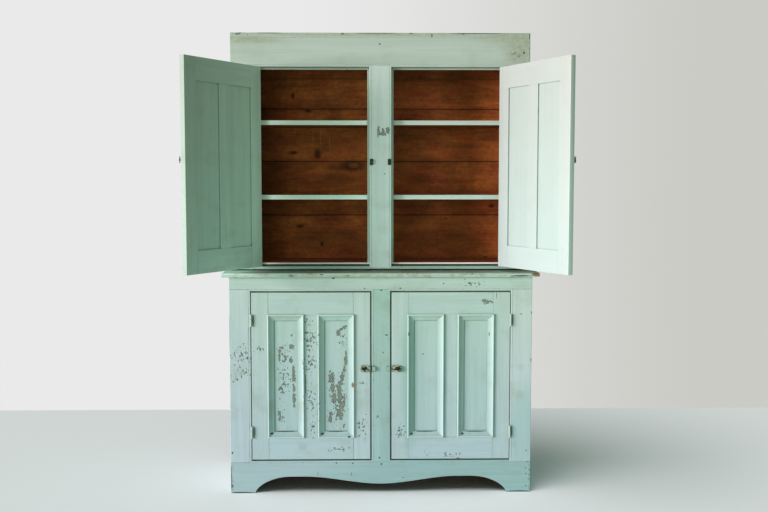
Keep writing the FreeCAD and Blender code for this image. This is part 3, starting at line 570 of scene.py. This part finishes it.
# ---- finishes on the case
def dress_case():
    for seed, (node, tint) in enumerate(FRAME_TINTS.items()):
        case, stile = node.split("_")[0], "stile" in node
        bare = behind(FRONT[case] + FRAME_THICK - 0.2)
        joints = [("z", end) for end in STILE_ENDS[case]] if stile else ()
        cover(node, "Aged mint paint", mint_and_pine(node, ALONG_Z if stile else ALONG_X, bare,
                                                     tint=tint, joints=joints, seed=seed * 5.3))
    for node in (node for node in nodes if node.endswith(SIDES)):
        cover(node, "Aged mint paint", mint_and_pine(node, ALONG_Z, within_case, tint=SIDE_DEPTH))
    give("upper_top_board", dress("Aged mint paint, top board", mint_and_pine("upper_top_board", ALONG_X)))

    def waist(tree):
        place = own_place(tree)
        painted = mint(tree, place, ALONG_X, "waist_board", tint=(1.1, 1.14, 1.13), seed=41.0)
        x, y, z = (add(tree, "SeparateXYZ", place, out=i) for i in range(3))
        # grime and painted shade lie on the ledge, darker further in, where the upper doors shade it; its
        # left end, where the window light falls, is left clean as painted light, and its front edge is paler
        dust = lumps(tree, place, (40, 40, 40), 4.0, 0.6, 6.0)
        flat = add(tree, "MapRange", z, (WAIST_TOP - 1.5) * MM, (WAIST_TOP - 0.2) * MM, 0.0, 1.0)
        dust = add(tree, "MapRange", dust, 0.3, 0.7, 0.60, 0.95)
        flat = add(tree, "Math", flat, dust, operation="MULTIPLY")
        kept = add(tree, "MapRange", x, -678 * MM, -420 * MM, 0.0, 1.0, **SMOOTH)
        kept = add(tree, "Math", kept, flat, operation="MULTIPLY")
        deep_in = add(tree, "MapRange", y, (WAIST_FRONT + 6) * MM, -130 * MM, 0.0, 1.0)
        dirt_and_shade = add(tree, "MixRGB", deep_in, *map(srgb, LEDGE_DIRT_AND_SHADE))
        layers = over(tree, kept, painted, (dirt_and_shade, 0.85, 0.0))
        # smudges and knocks on the front edge
        smudge = lumps(tree, place, (22, 22, 7), 4.0, 0.65, 12.0)
        smudge = add(tree, "MapRange", smudge, 0.54, 0.66, 0.0, 0.65, **SMOOTH)
        front = add(tree, "MapRange", y, (WAIST_FRONT + 0.5) * MM, (WAIST_FRONT + 2.0) * MM, 1.0, 0.0)
        smudge = add(tree, "Math", smudge, front, operation="MULTIPLY")
        layers = over(tree, smudge, layers, (srgb(SMUDGE), 0.8, -0.1))
        worn = add(tree, "MapRange", nearest(tree, place, WORN_EDGE), 1.4, 0.4, 0.0, 1.0)
        grain = lumps(tree, place, (12, 12, 3), 3.0, 0.6, 15.0)
        grain = add(tree, "MapRange", grain, 0.45, 0.60, 0.0, 0.9)
        worn = add(tree, "Math", worn, grain, operation="MULTIPLY")
        layers = over(tree, worn, layers, (srgb(EDGE_WOOD), 0.85, -0.4))
        # painted shade: the ledge inside the open joint under the upper case is painted black
        seam = add(tree, "Math", y, (UPPER_FRONT - 4) * MM, operation="GREATER_THAN")
        seam = add(tree, "Math", seam, flat, operation="MULTIPLY")
        return over(tree, seam, layers, (srgb(JOINT_SHADE_BLACK), 0.9, 0.0))
    give("waist_board", dress("Aged mint paint, waist board with dirt on its ledge", waist))

    def back_boards(tree, case):
        place = own_place(tree)
        x, y = (add(tree, "SeparateXYZ", place, out=i) for i in range(2))
        boards = list(zip(BOARD_ENDS[case], BOARD_TONES[case]))
        # the upper back takes its knots, scratches and patches, and its painted light and shade along x
        wear = (BACK_LIGHT_AND_SHADE_ALONG_X, KNOTS, TAN_KNOTS, PATCHES, SCRATCHES) if case == "upper" else ()
        colour, rough, relief = pine(tree, place, ALONG_X, 0.0, boards, *wear)
        # the side to the wall never had a finish: dry and grey, furred by the saw
        fur = lumps(tree, place, (3, 3, 60), 2.0, 0.6, 33.0)
        dry = add(tree, "MixRGB", fur, *map(srgb, DRY_PINE))
        dry = add(tree, "MixRGB", 0.45, dry, colour)
        outside = add(tree, "Math", y, (BACK_FACE + CASE_BACK) / 2 * MM, operation="GREATER_THAN")
        layers = over(tree, outside, (colour, rough, relief), (dry, 0.9, relief))
        ends = add(tree, "Math", x, operation="ABSOLUTE")
        ends = add(tree, "Math", ends, (HALF_WIDTH - 0.8) * MM, operation="GREATER_THAN")
        return over(tree, ends, layers, mint(tree, place, ALONG_Z, case + "_back_boards"))
    for case in BOARD_ENDS:
        cover(case + "_back_boards", "Brown old pine",
              lambda tree, case=case: back_boards(tree, case), WOOD_SHINE)
    for seed, node in enumerate(("shelf_cleats", "base_shelves")):
        cover(node, "Brown old pine",
              lambda tree, seed=seed: pine(tree, own_place(tree), ALONG_X, seed * 3.1), WOOD_SHINE)
    # the floor's front edge is darkened: grime, and painted shade for the gap under the closed base doors
    bare = behind(BASE_FRONT + FRAME_THICK + EDGE_PAINT)
    give("base_floor", dress("Dirty mint paint on the floor's front edge, bare pine board",
                             mint_and_pine("base_floor", ALONG_X, bare, tint=(0.45, 0.58, 0.52))))

    def shelves(tree):
        place = own_place(tree)
        x, y = (add(tree, "SeparateXYZ", place, out=i) for i in range(2))
        # the shelf edges are painted lighter, most in the left bay: painted light where the open left door
        # shades them
        painted = mint(tree, place, ALONG_X, "upper_shelves", tint=(1.13, 1.05, 1.06))
        painted_light = through(tree, x, SHELF_EDGE_PAINTED_LIGHT)
        painted_light = add(tree, "VectorMath", painted[0], None, None, painted_light, **SCALED)
        edge = UPPER_FRONT + FRAME_THICK + STOP_THICK + EDGE_PAINT
        bare = add(tree, "Math", y, edge * MM, operation="GREATER_THAN")
        return over(tree, bare, (painted_light, *painted[1:]), pine(tree, place, ALONG_X))
    give("upper_shelves", dress("Mint paint on shelf edges, bare pine boards", shelves))

    def upper_floor(tree):
        place = own_place(tree)
        y, z = (add(tree, "SeparateXYZ", place, out=i) for i in (1, 2))
        stroke = lumps(tree, place, (60, 60, 3), 3.0, 0.6, 17.0)
        cream = (add(tree, "MixRGB", stroke, *map(srgb, CREAM)), 0.6, stroke)
        # the lower part of the edge is dark: painted shadow, with wear
        low = add(tree, "MapRange", z, 984.5 * MM, 986.0 * MM, 1.0, 0.0)
        cream = over(tree, low, cream, (srgb(CRACK_DIRT_AND_SHADOW), 0.8, -0.3))
        edge = UPPER_FRONT + FRAME_THICK + EDGE_PAINT
        bare = add(tree, "Math", y, edge * MM, operation="GREATER_THAN")
        return over(tree, bare, cream, pine(tree, place, ALONG_X, seed=2.0))
    give("upper_floor", dress("Cream paint on the floor's front edge, bare pine board", upper_floor))
    for node in ("upper_door_stops", "base_door_stops"):
        cover(node, "Cream paint", mint_and_pine(node, ALONG_X, tint=(1.1, 1.03, 0.95)))
    painted_iron = iron("hinges painted over", paint=0.22, coat=HINGE_COAT)
    give("hinge_leaves_on_case", painted_iron)
    give("hinge_pins", painted_iron)
    # only the upper keepers are bare: their bolts are drawn and the doors stand open
    upper_keepers = [(side * 40, CATCH_Z["upper"], 16, 22) for side in (-1, 1)]
    give("catch_keepers", iron("keepers", paint=0.26, bare_spots=upper_keepers, coat=KEEPER_COAT))


# ---- finishes on the doors
def door_paint(door, piece, grain, tint, joints):
    """Mint paint on one piece of a door, laid out as the door hangs when closed."""
    node = door + "_" + piece
    # the door's tint takes in the painted light of the open upper doors
    tint = tuple(share * door_light for share, door_light in zip(tint, DOOR_PAINTED_LIGHT.get(door, EVEN)))
    roll = FRONT[door.split("_")[0]] if piece == "door_moulding" else None
    dirt_and_shade, brushed = LESS_DIRT_AND_SHADE.get(door, (0.85, 1.0))
    seed = 3.7 * len(node) + 7    # each kind of piece has its own brush marks

    def layers(tree):
        place = own_place(tree, door)
        colour, *rest = mint(tree, place, grain, node, tint, joints, seed, roll, dirt_and_shade,
                             CRACKS.get(door, 0), brushed)
        # painted light and shade across the open upper doors
        if door in DOOR_PAINTED_LIGHT_ACROSS:
            tone = through(tree, add(tree, "SeparateXYZ", place), DOOR_PAINTED_LIGHT_ACROSS[door])
            colour = add(tree, "VectorMath", colour, None, None, tone, **SCALED)
        return (colour, *rest)
    return layers


def dress_doors():
    for door, ((pin_x, _), _) in DOORS.items():
        case = door.split("_")[0]
        hinge_side = 1 if pin_x > 0 else -1
        shoulders = [("x", hinge_side * x) for x in RAIL_ENDS] if case == "base" else ()
        # the moulding's darker, greener tint is painted shade, for its slopes turned from the window
        for piece, grain, tint, joints in (
                ("door_stiles", ALONG_Z, EVEN, ()),
                ("door_rails", ALONG_X, (0.98, 1, 1.02), shoulders),
                ("door_muntin", ALONG_Z, (0.97, 1, 1), ()),
                ("door_panels", ALONG_Z, (0.93, 0.98, 0.97), ()),
                ("door_moulding", ALONG_Z, (0.88, 0.96, 0.93), ())):
            cover(door + "_" + piece, "Aged mint paint", door_paint(door, piece, grain, tint, joints))
        give(door + "_hinge_leaves", iron(door + " hinge leaves", paint=0.22, coat=HINGE_COAT))
        thumbed = (hinge_side * KNOB_X[case], CATCH_Z[case] + 2, 9, 6)
        give(door + "_catch_case", iron(door + " catch case", paint=0.13, bare_spots=[thumbed]))


# ---- small fittings
HINGE_MIDDLE = 120    # of a hinge from the door's end
LEAF_THICK, LEAF_SCREWS = 1.4, (-17, 0, 17)    # the screws' heights on the leaf
LEAF_SCREW_IN = 9    # behind the door's face
SCREW_SUNK = 0.38    # countersunk: a closed hinge leaves only 0.2 mm between its leaves
NAIL_SUNK = 0.38    # driven flush
CATCH_LENGTH, CATCH_PROUD, CATCH_WALL = 40, 9, 2
BOLT_THICK, BOLT_TALL, BOLT_TRAVEL = 5, 12, 13
KEEPER_EAR, KEEPER_SCREW_IN = 2, 8.5    # an ear's thickness, and its screw's place in from the stile's edge
KNOB = ((0, 2), (7.5, 2), (8.2, 3.4), (9.0, 3.4), (9.6, 2.4), (11.0, 2.6), (12.4, 4.4), (14.0, 6.2),
        (15.6, 6.7), (17.2, 5.9), (18.3, 4.0), (18.8, 1.6))    # height, radius
NAILS = (  # x, z on the base's front
    (636, 133), (629, 105), (631, 80), (632, 27), (631, 182), (-193, 131), (-123, 129), (603, 781), (96, 65),
)


def start(kind, **sizes):
    """A primitive at the origin, in edit mode with all of it selected."""
    bpy.ops.object.select_all(action="DESELECT")
    getattr(bpy.ops.mesh, "primitive_" + kind + "_add")(**sizes)
    bpy.ops.object.mode_set(mode="EDIT")
    return bpy.context.object


def pick(piece, test):
    """Selects the faces whose middle and normal (in mm) pass a test."""
    bpy.ops.mesh.select_all(action="DESELECT")
    bpy.ops.object.mode_set(mode="OBJECT")
    for face in piece.data.polygons:
        face.select = test(face.center / MM, face.normal)
    bpy.ops.object.mode_set(mode="EDIT")
    bpy.ops.mesh.select_mode(type="FACE")


def finish(piece, name, angle=30):
    """Leaves edit mode, and shades smooth what bends by less than an angle."""
    bpy.ops.mesh.select_all(action="SELECT")
    bpy.ops.mesh.normals_make_consistent(inside=False)
    bpy.ops.object.mode_set(mode="OBJECT")
    piece.name = name
    bpy.ops.object.shade_smooth_by_angle(angle=math.radians(angle))
    return piece


def turned(profile, sides):
    """A turned shape along +Z: starts from the first (height, radius) and goes out through the rest."""
    height, radius = profile[0]
    piece = start("circle", radius=radius * MM, vertices=sides, fill_type="NGON")
    bpy.ops.transform.translate(value=(0, 0, height * MM))
    for next_height, next_radius in profile[1:]:
        rise = (next_height - height) * MM
        bpy.ops.mesh.extrude_region_move(TRANSFORM_OT_translate={"value": (0, 0, rise)})
        share = next_radius / radius
        bpy.ops.transform.resize(value=(share, share, 1), center_override=(0, 0, next_height * MM))
        height, radius = next_height, next_radius
    return piece


def slotted_screw(radius=2.3, height=0.7):
    """Head of a wood screw on z = 0, with a slot across it."""
    screw = turned([(-0.4, radius), (height - 0.25, radius), (height, radius * 0.82)], 20)
    half_slot, slot_depth = 0.32, 0.5
    for side in (-1, 1):
        bpy.ops.mesh.select_all(action="SELECT")
        bpy.ops.mesh.bisect(plane_co=(side * half_slot * MM, 0, 0), plane_no=(1, 0, 0))
    pick(screw, lambda middle, normal: normal.z > 0.9 and abs(middle.x) < half_slot)
    bpy.ops.mesh.extrude_region_move(TRANSFORM_OT_translate={"value": (0, 0, -slot_depth * MM)})
    return finish(screw, "screw")


def nail_head(radius=2.6):
    """Low round head on z = 0."""
    return finish(turned([(-0.3, radius), (0.15, radius), (0.4, radius * 0.6)], 10), "nail", 60)


def on_face(x, y, z, spin=0, normal=(0, -1, 0)):
    """Places a piece that stands on z = 0 on a face at (x, y, z) mm."""
    turn = Vector(normal).to_track_quat("Z", "Y").to_matrix().to_4x4()
    return Matrix.Translation(Vector((x, y, z)) * MM) @ turn @ Matrix.Rotation(math.radians(spin), 4, "Z")


def hung(door, closed):
    """A place on the closed left hand door, taken to a door as it hangs."""
    (pin_x, pin_y), opened = DOORS[door]
    if pin_x > 0:
        closed = Matrix.Diagonal((-1, 1, 1, 1)) @ closed
    pin = Matrix.Translation(Vector((pin_x, pin_y, 0)) * MM)
    return pin @ Matrix.Rotation(math.radians(opened), 4, "Z") @ pin.inverted() @ closed


def copies(model, name, places, body, material):
    """One piece made of a copy of the model at each place, which rides on a body."""
    made = []
    for place in places:
        copy = bpy.data.objects.new(name, model.data.copy())
        bpy.context.scene.collection.objects.link(copy)
        copy.data.transform(place)
        if place.determinant() < 0:
            copy.data.flip_normals()
        made.append(copy)
    bpy.ops.object.select_all(action="DESELECT")
    for copy in made:
        copy.select_set(True)
    bpy.context.view_layer.objects.active = made[0]
    if len(made) > 1:
        bpy.ops.object.join()
    piece = bpy.context.object
    piece.name = name
    piece.data.materials.clear()
    piece.data.materials.append(material)
    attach(piece, body)
    return piece


def catch_bolt_model(face, latch, catch_z):
    """Drawn bolt of the left hand door: a flat bar with a turned knob on its stem."""
    bar = finish(start("cube", size=1), "bar")
    middle = Vector((latch - CATCH_LENGTH / 2, face - CATCH_WALL - BOLT_THICK / 2, catch_z)) * MM
    size = Matrix.Diagonal(((CATCH_LENGTH - 1) * MM, BOLT_THICK * MM, BOLT_TALL * MM, 1))
    bar.data.transform(Matrix.Translation(middle) @ size)
    bevel = bar.modifiers.new("edges", "BEVEL")
    bevel.width = 0.8 * MM
    bevel.segments = 2
    bpy.ops.object.modifier_apply(modifier="edges")
    knob = finish(turned(KNOB, 28), "knob", 50)
    knob.data.transform(on_face(latch - CATCH_LENGTH / 2 - BOLT_TRAVEL / 2, face, catch_z))
    bpy.ops.object.select_all(action="DESELECT")
    bar.select_set(True)
    knob.select_set(True)
    bpy.context.view_layer.objects.active = bar
    bpy.ops.object.join()
    return bpy.context.object


def discard(*models):
    for model in models:
        bpy.data.objects.remove(model)


def fit_doors():
    screw, small_screw = slotted_screw(), slotted_screw(1.6, 0.5)
    steel = iron("screw heads", STEEL)
    brass = iron("brass knobs gone black", BLACK_BRASS)
    for case, (foot, head, hinge, latch, face) in DOOR_EDGES.items():
        bolt = catch_bolt_model(face, latch, CATCH_Z[case])
        catch_x = latch - CATCH_LENGTH / 2
        corners = [on_face(catch_x + dx, face - CATCH_PROUD, CATCH_Z[case] + dz, 40 * dx + 7 * dz)
                   for dx in (-15, 15) for dz in (-9.6, 9.6)]
        leaf_x = hinge - LEAF_THICK + SCREW_SUNK
        leaf = [on_face(leaf_x, face + LEAF_SCREW_IN, middle + dz, 30 * dz + middle, (-1, 0, 0))
                for middle in (foot + HINGE_MIDDLE, head - HINGE_MIDDLE) for dz in LEAF_SCREWS]
        for side in ("left", "right"):
            door = case + "_" + side
            piece = copies(bolt, door + "_turned_catch_bolt", [hung(door, Matrix())],
                           door + "_bolt", brass)
            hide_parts(door + "_catch_bolt")
            copies(screw, door + "_catch_screws", [hung(door, place) for place in corners],
                   door + "_door", steel)
            copies(small_screw, door + "_hinge_screws", [hung(door, place) for place in leaf],
                   door + "_door", steel)
        discard(bolt)
    ears = [on_face(side * (centre - KEEPER_SCREW_IN), FRONT[case] - KEEPER_EAR, CATCH_Z[case] + dz, 50 * dz)
            for case, centre in CENTRE_HALF.items() for side in (-1, 1) for dz in (-11, 11)]
    copies(small_screw, "keeper_screws", ears, "case", steel)
    discard(screw, small_screw)


def nail_boards():
    nail = nail_head()
    steel = iron("nail heads", NAIL_IRON)
    front = [on_face(x, BASE_FRONT, z) for x, z in NAILS]
    back = [on_face(x, CASE_BACK - NAIL_SUNK, z, 0, (0, 1, 0))
            for ends in BOARD_ENDS.values() for foot, head in zip(ends, ends[1:])
            for x in (-639, -4, 641) for z in (foot + 30, head - 32)]
    copies(nail, "nails_in_front", front, "case", steel)
    copies(nail, "nails_in_back_boards", back, "case", steel)
    discard(nail)


# ---- rounded arrises
EASED = (  # ends of the nodes' names, width
    ((*SIDES, "_stile_left", "_stile_right", "_stile_centre", "_rail", "frieze", "_apron"), 1.2),
    (("_board", "_shelves", "_floor"), 1.5),
    (("door_stiles", "door_rails", "door_muntin"), 1.0),
)


def ease_edges(node, width):
    """Rounds a node's arrises by a width in mm, as planing, paint and hands leave them."""
    weld = nodes[node].modifiers.new("weld", "WELD")
    weld.merge_threshold = 0.01 * MM
    flat = nodes[node].modifiers.new("one face on each flat", "DECIMATE")
    flat.decimate_type = "DISSOLVE"
    flat.angle_limit = math.radians(0.5)
    arris = nodes[node].modifiers.new("arris", "BEVEL")
    arris.width = width * MM
    arris.segments = 2
    arris.limit_method = "ANGLE"
    arris.angle_limit = math.radians(40)


def ease_all_edges():
    for node in nodes:
        width = next((width for endings, width in EASED if node.endswith(endings)), None)
        if width:
            ease_edges(node, width)


# ---- floor, light and camera
FLOOR_WIDTH, FLOOR_DEPTH, FLOOR_END = 30, 16, 1.363    # metres
ROOM_LIGHT, ROOM_STRENGTH = (0.78, 1.15, 0.95, 1.0), 0.18
LAMPS = (  # name, towards it, share of a face's colour that it lights, spread in degrees, colour
    ("window", (-0.90, -0.436, 0.05), 1.64, 26, (1.12, 0.92, 1.02)),
    ("front_fill", (-0.4, -0.91, 0.1), 0.14, 40, EVEN),
    ("right_fill", (0.6, -0.8, 0.1), 0.04, 40, EVEN),
    ("back_fill", (0.4, 0.7, 0.8), 0.12, 30, EVEN),
    ("floor_wash", (-0.4, -0.4, 1), 0.60, 40, (1, 0.97, 1)),
)
EYE, EYE_TURN, LENS = (-0.0627, -4.4139, 1.3484), (85.685, 0, -1.035), 46.2    # metres, degrees, millimetres


def build_stage():
    """A plain floor. Beyond its far edge the pale backdrop is the world."""
    bpy.ops.object.select_all(action="DESELECT")
    bpy.ops.mesh.primitive_plane_add(size=1)
    floor = bpy.context.object
    floor.name = "floor"
    floor.data.transform(Matrix.Diagonal((FLOOR_WIDTH, FLOOR_DEPTH, 1, 1)) @ Matrix.Translation((0, -0.5, 0)))
    floor.data.transform(Matrix.Translation((0, FLOOR_END, 0)))
    material = bpy.data.materials.new("Matt white floor paint")
    material.use_nodes = True
    tree = material.node_tree
    shader = tree.nodes["Principled BSDF"]
    colour = add(tree, "MixRGB", add(tree, "LightPath"), srgb(FLOOR_LIT), srgb(FLOOR_SEEN))
    tree.links.new(colour, shader.inputs["Base Color"])
    shader.inputs["Roughness"].default_value = 0.9
    floor.data.materials.append(material)
    return floor


def build_light(floor):
    world = bpy.data.worlds.new("Soft room light")
    bpy.context.scene.world = world
    world.use_nodes = True
    tree = world.node_tree
    background = tree.nodes["Background"]
    ray = add(tree, "LightPath")
    camera_ray, glossy_ray, clear_ray = (ray.node.outputs[n] for n in
                                         ("Is Camera Ray", "Is Glossy Ray", "Is Transmission Ray"))
    seen = add(tree, "Math", camera_ray, glossy_ray, operation="ADD")
    seen = add(tree, "Math", seen, clear_ray, operation="ADD", use_clamp=True)
    side = add(tree, "SeparateXYZ", add(tree, "TexCoord"))
    # the backdrop darkens to the right: painted shade
    across = add(tree, "MapRange", side, -0.1, 0.35, 0.0, 1.0, **SMOOTH)
    backdrop = add(tree, "MixRGB", across, *map(srgb, BACKDROP_SHADED_RIGHT))
    colour = add(tree, "MixRGB", seen, ROOM_LIGHT, backdrop)
    tree.links.new(colour, background.inputs["Color"])
    strength = add(tree, "MapRange", seen, 0.0, 1.0, ROOM_STRENGTH, 1.0)
    tree.links.new(strength, background.inputs["Strength"])
    # a lamp of strength pi lights a face turned to it so that a colour renders as written
    for name, towards, share, spread, colour in LAMPS:
        light = bpy.data.lights.new(name, "SUN")
        light.energy = share * math.pi
        light.angle = math.radians(spread)
        light.color = colour
        lamp = bpy.data.objects.new(name, light)
        bpy.context.scene.collection.objects.link(lamp)
        lamp.rotation_euler = Vector(towards).to_track_quat("Z", "Y").to_euler()
        # the floor takes the wash alone, which leaves the shade under the case deep
        lit = bpy.data.collections.new("lit by " + name)
        lit.objects.link(floor)
        if name != "floor_wash":
            lit.collection_objects[0].light_linking.link_state = "EXCLUDE"
        lamp.light_linking.receiver_collection = lit


def build_camera():
    camera = bpy.data.cameras.new("camera")
    camera.sensor_width = 36
    camera.lens = LENS
    eye = bpy.data.objects.new("camera", camera)
    bpy.context.scene.collection.objects.link(eye)
    eye.location = EYE
    eye.rotation_euler = [math.radians(turn) for turn in EYE_TURN]
    bpy.context.scene.camera = eye


build_camera()
dress_case()
dress_doors()
fit_doors()
nail_boards()
ease_all_edges()
build_light(build_stage())
bpy.context.scene.view_settings.view_transform = "Standard"
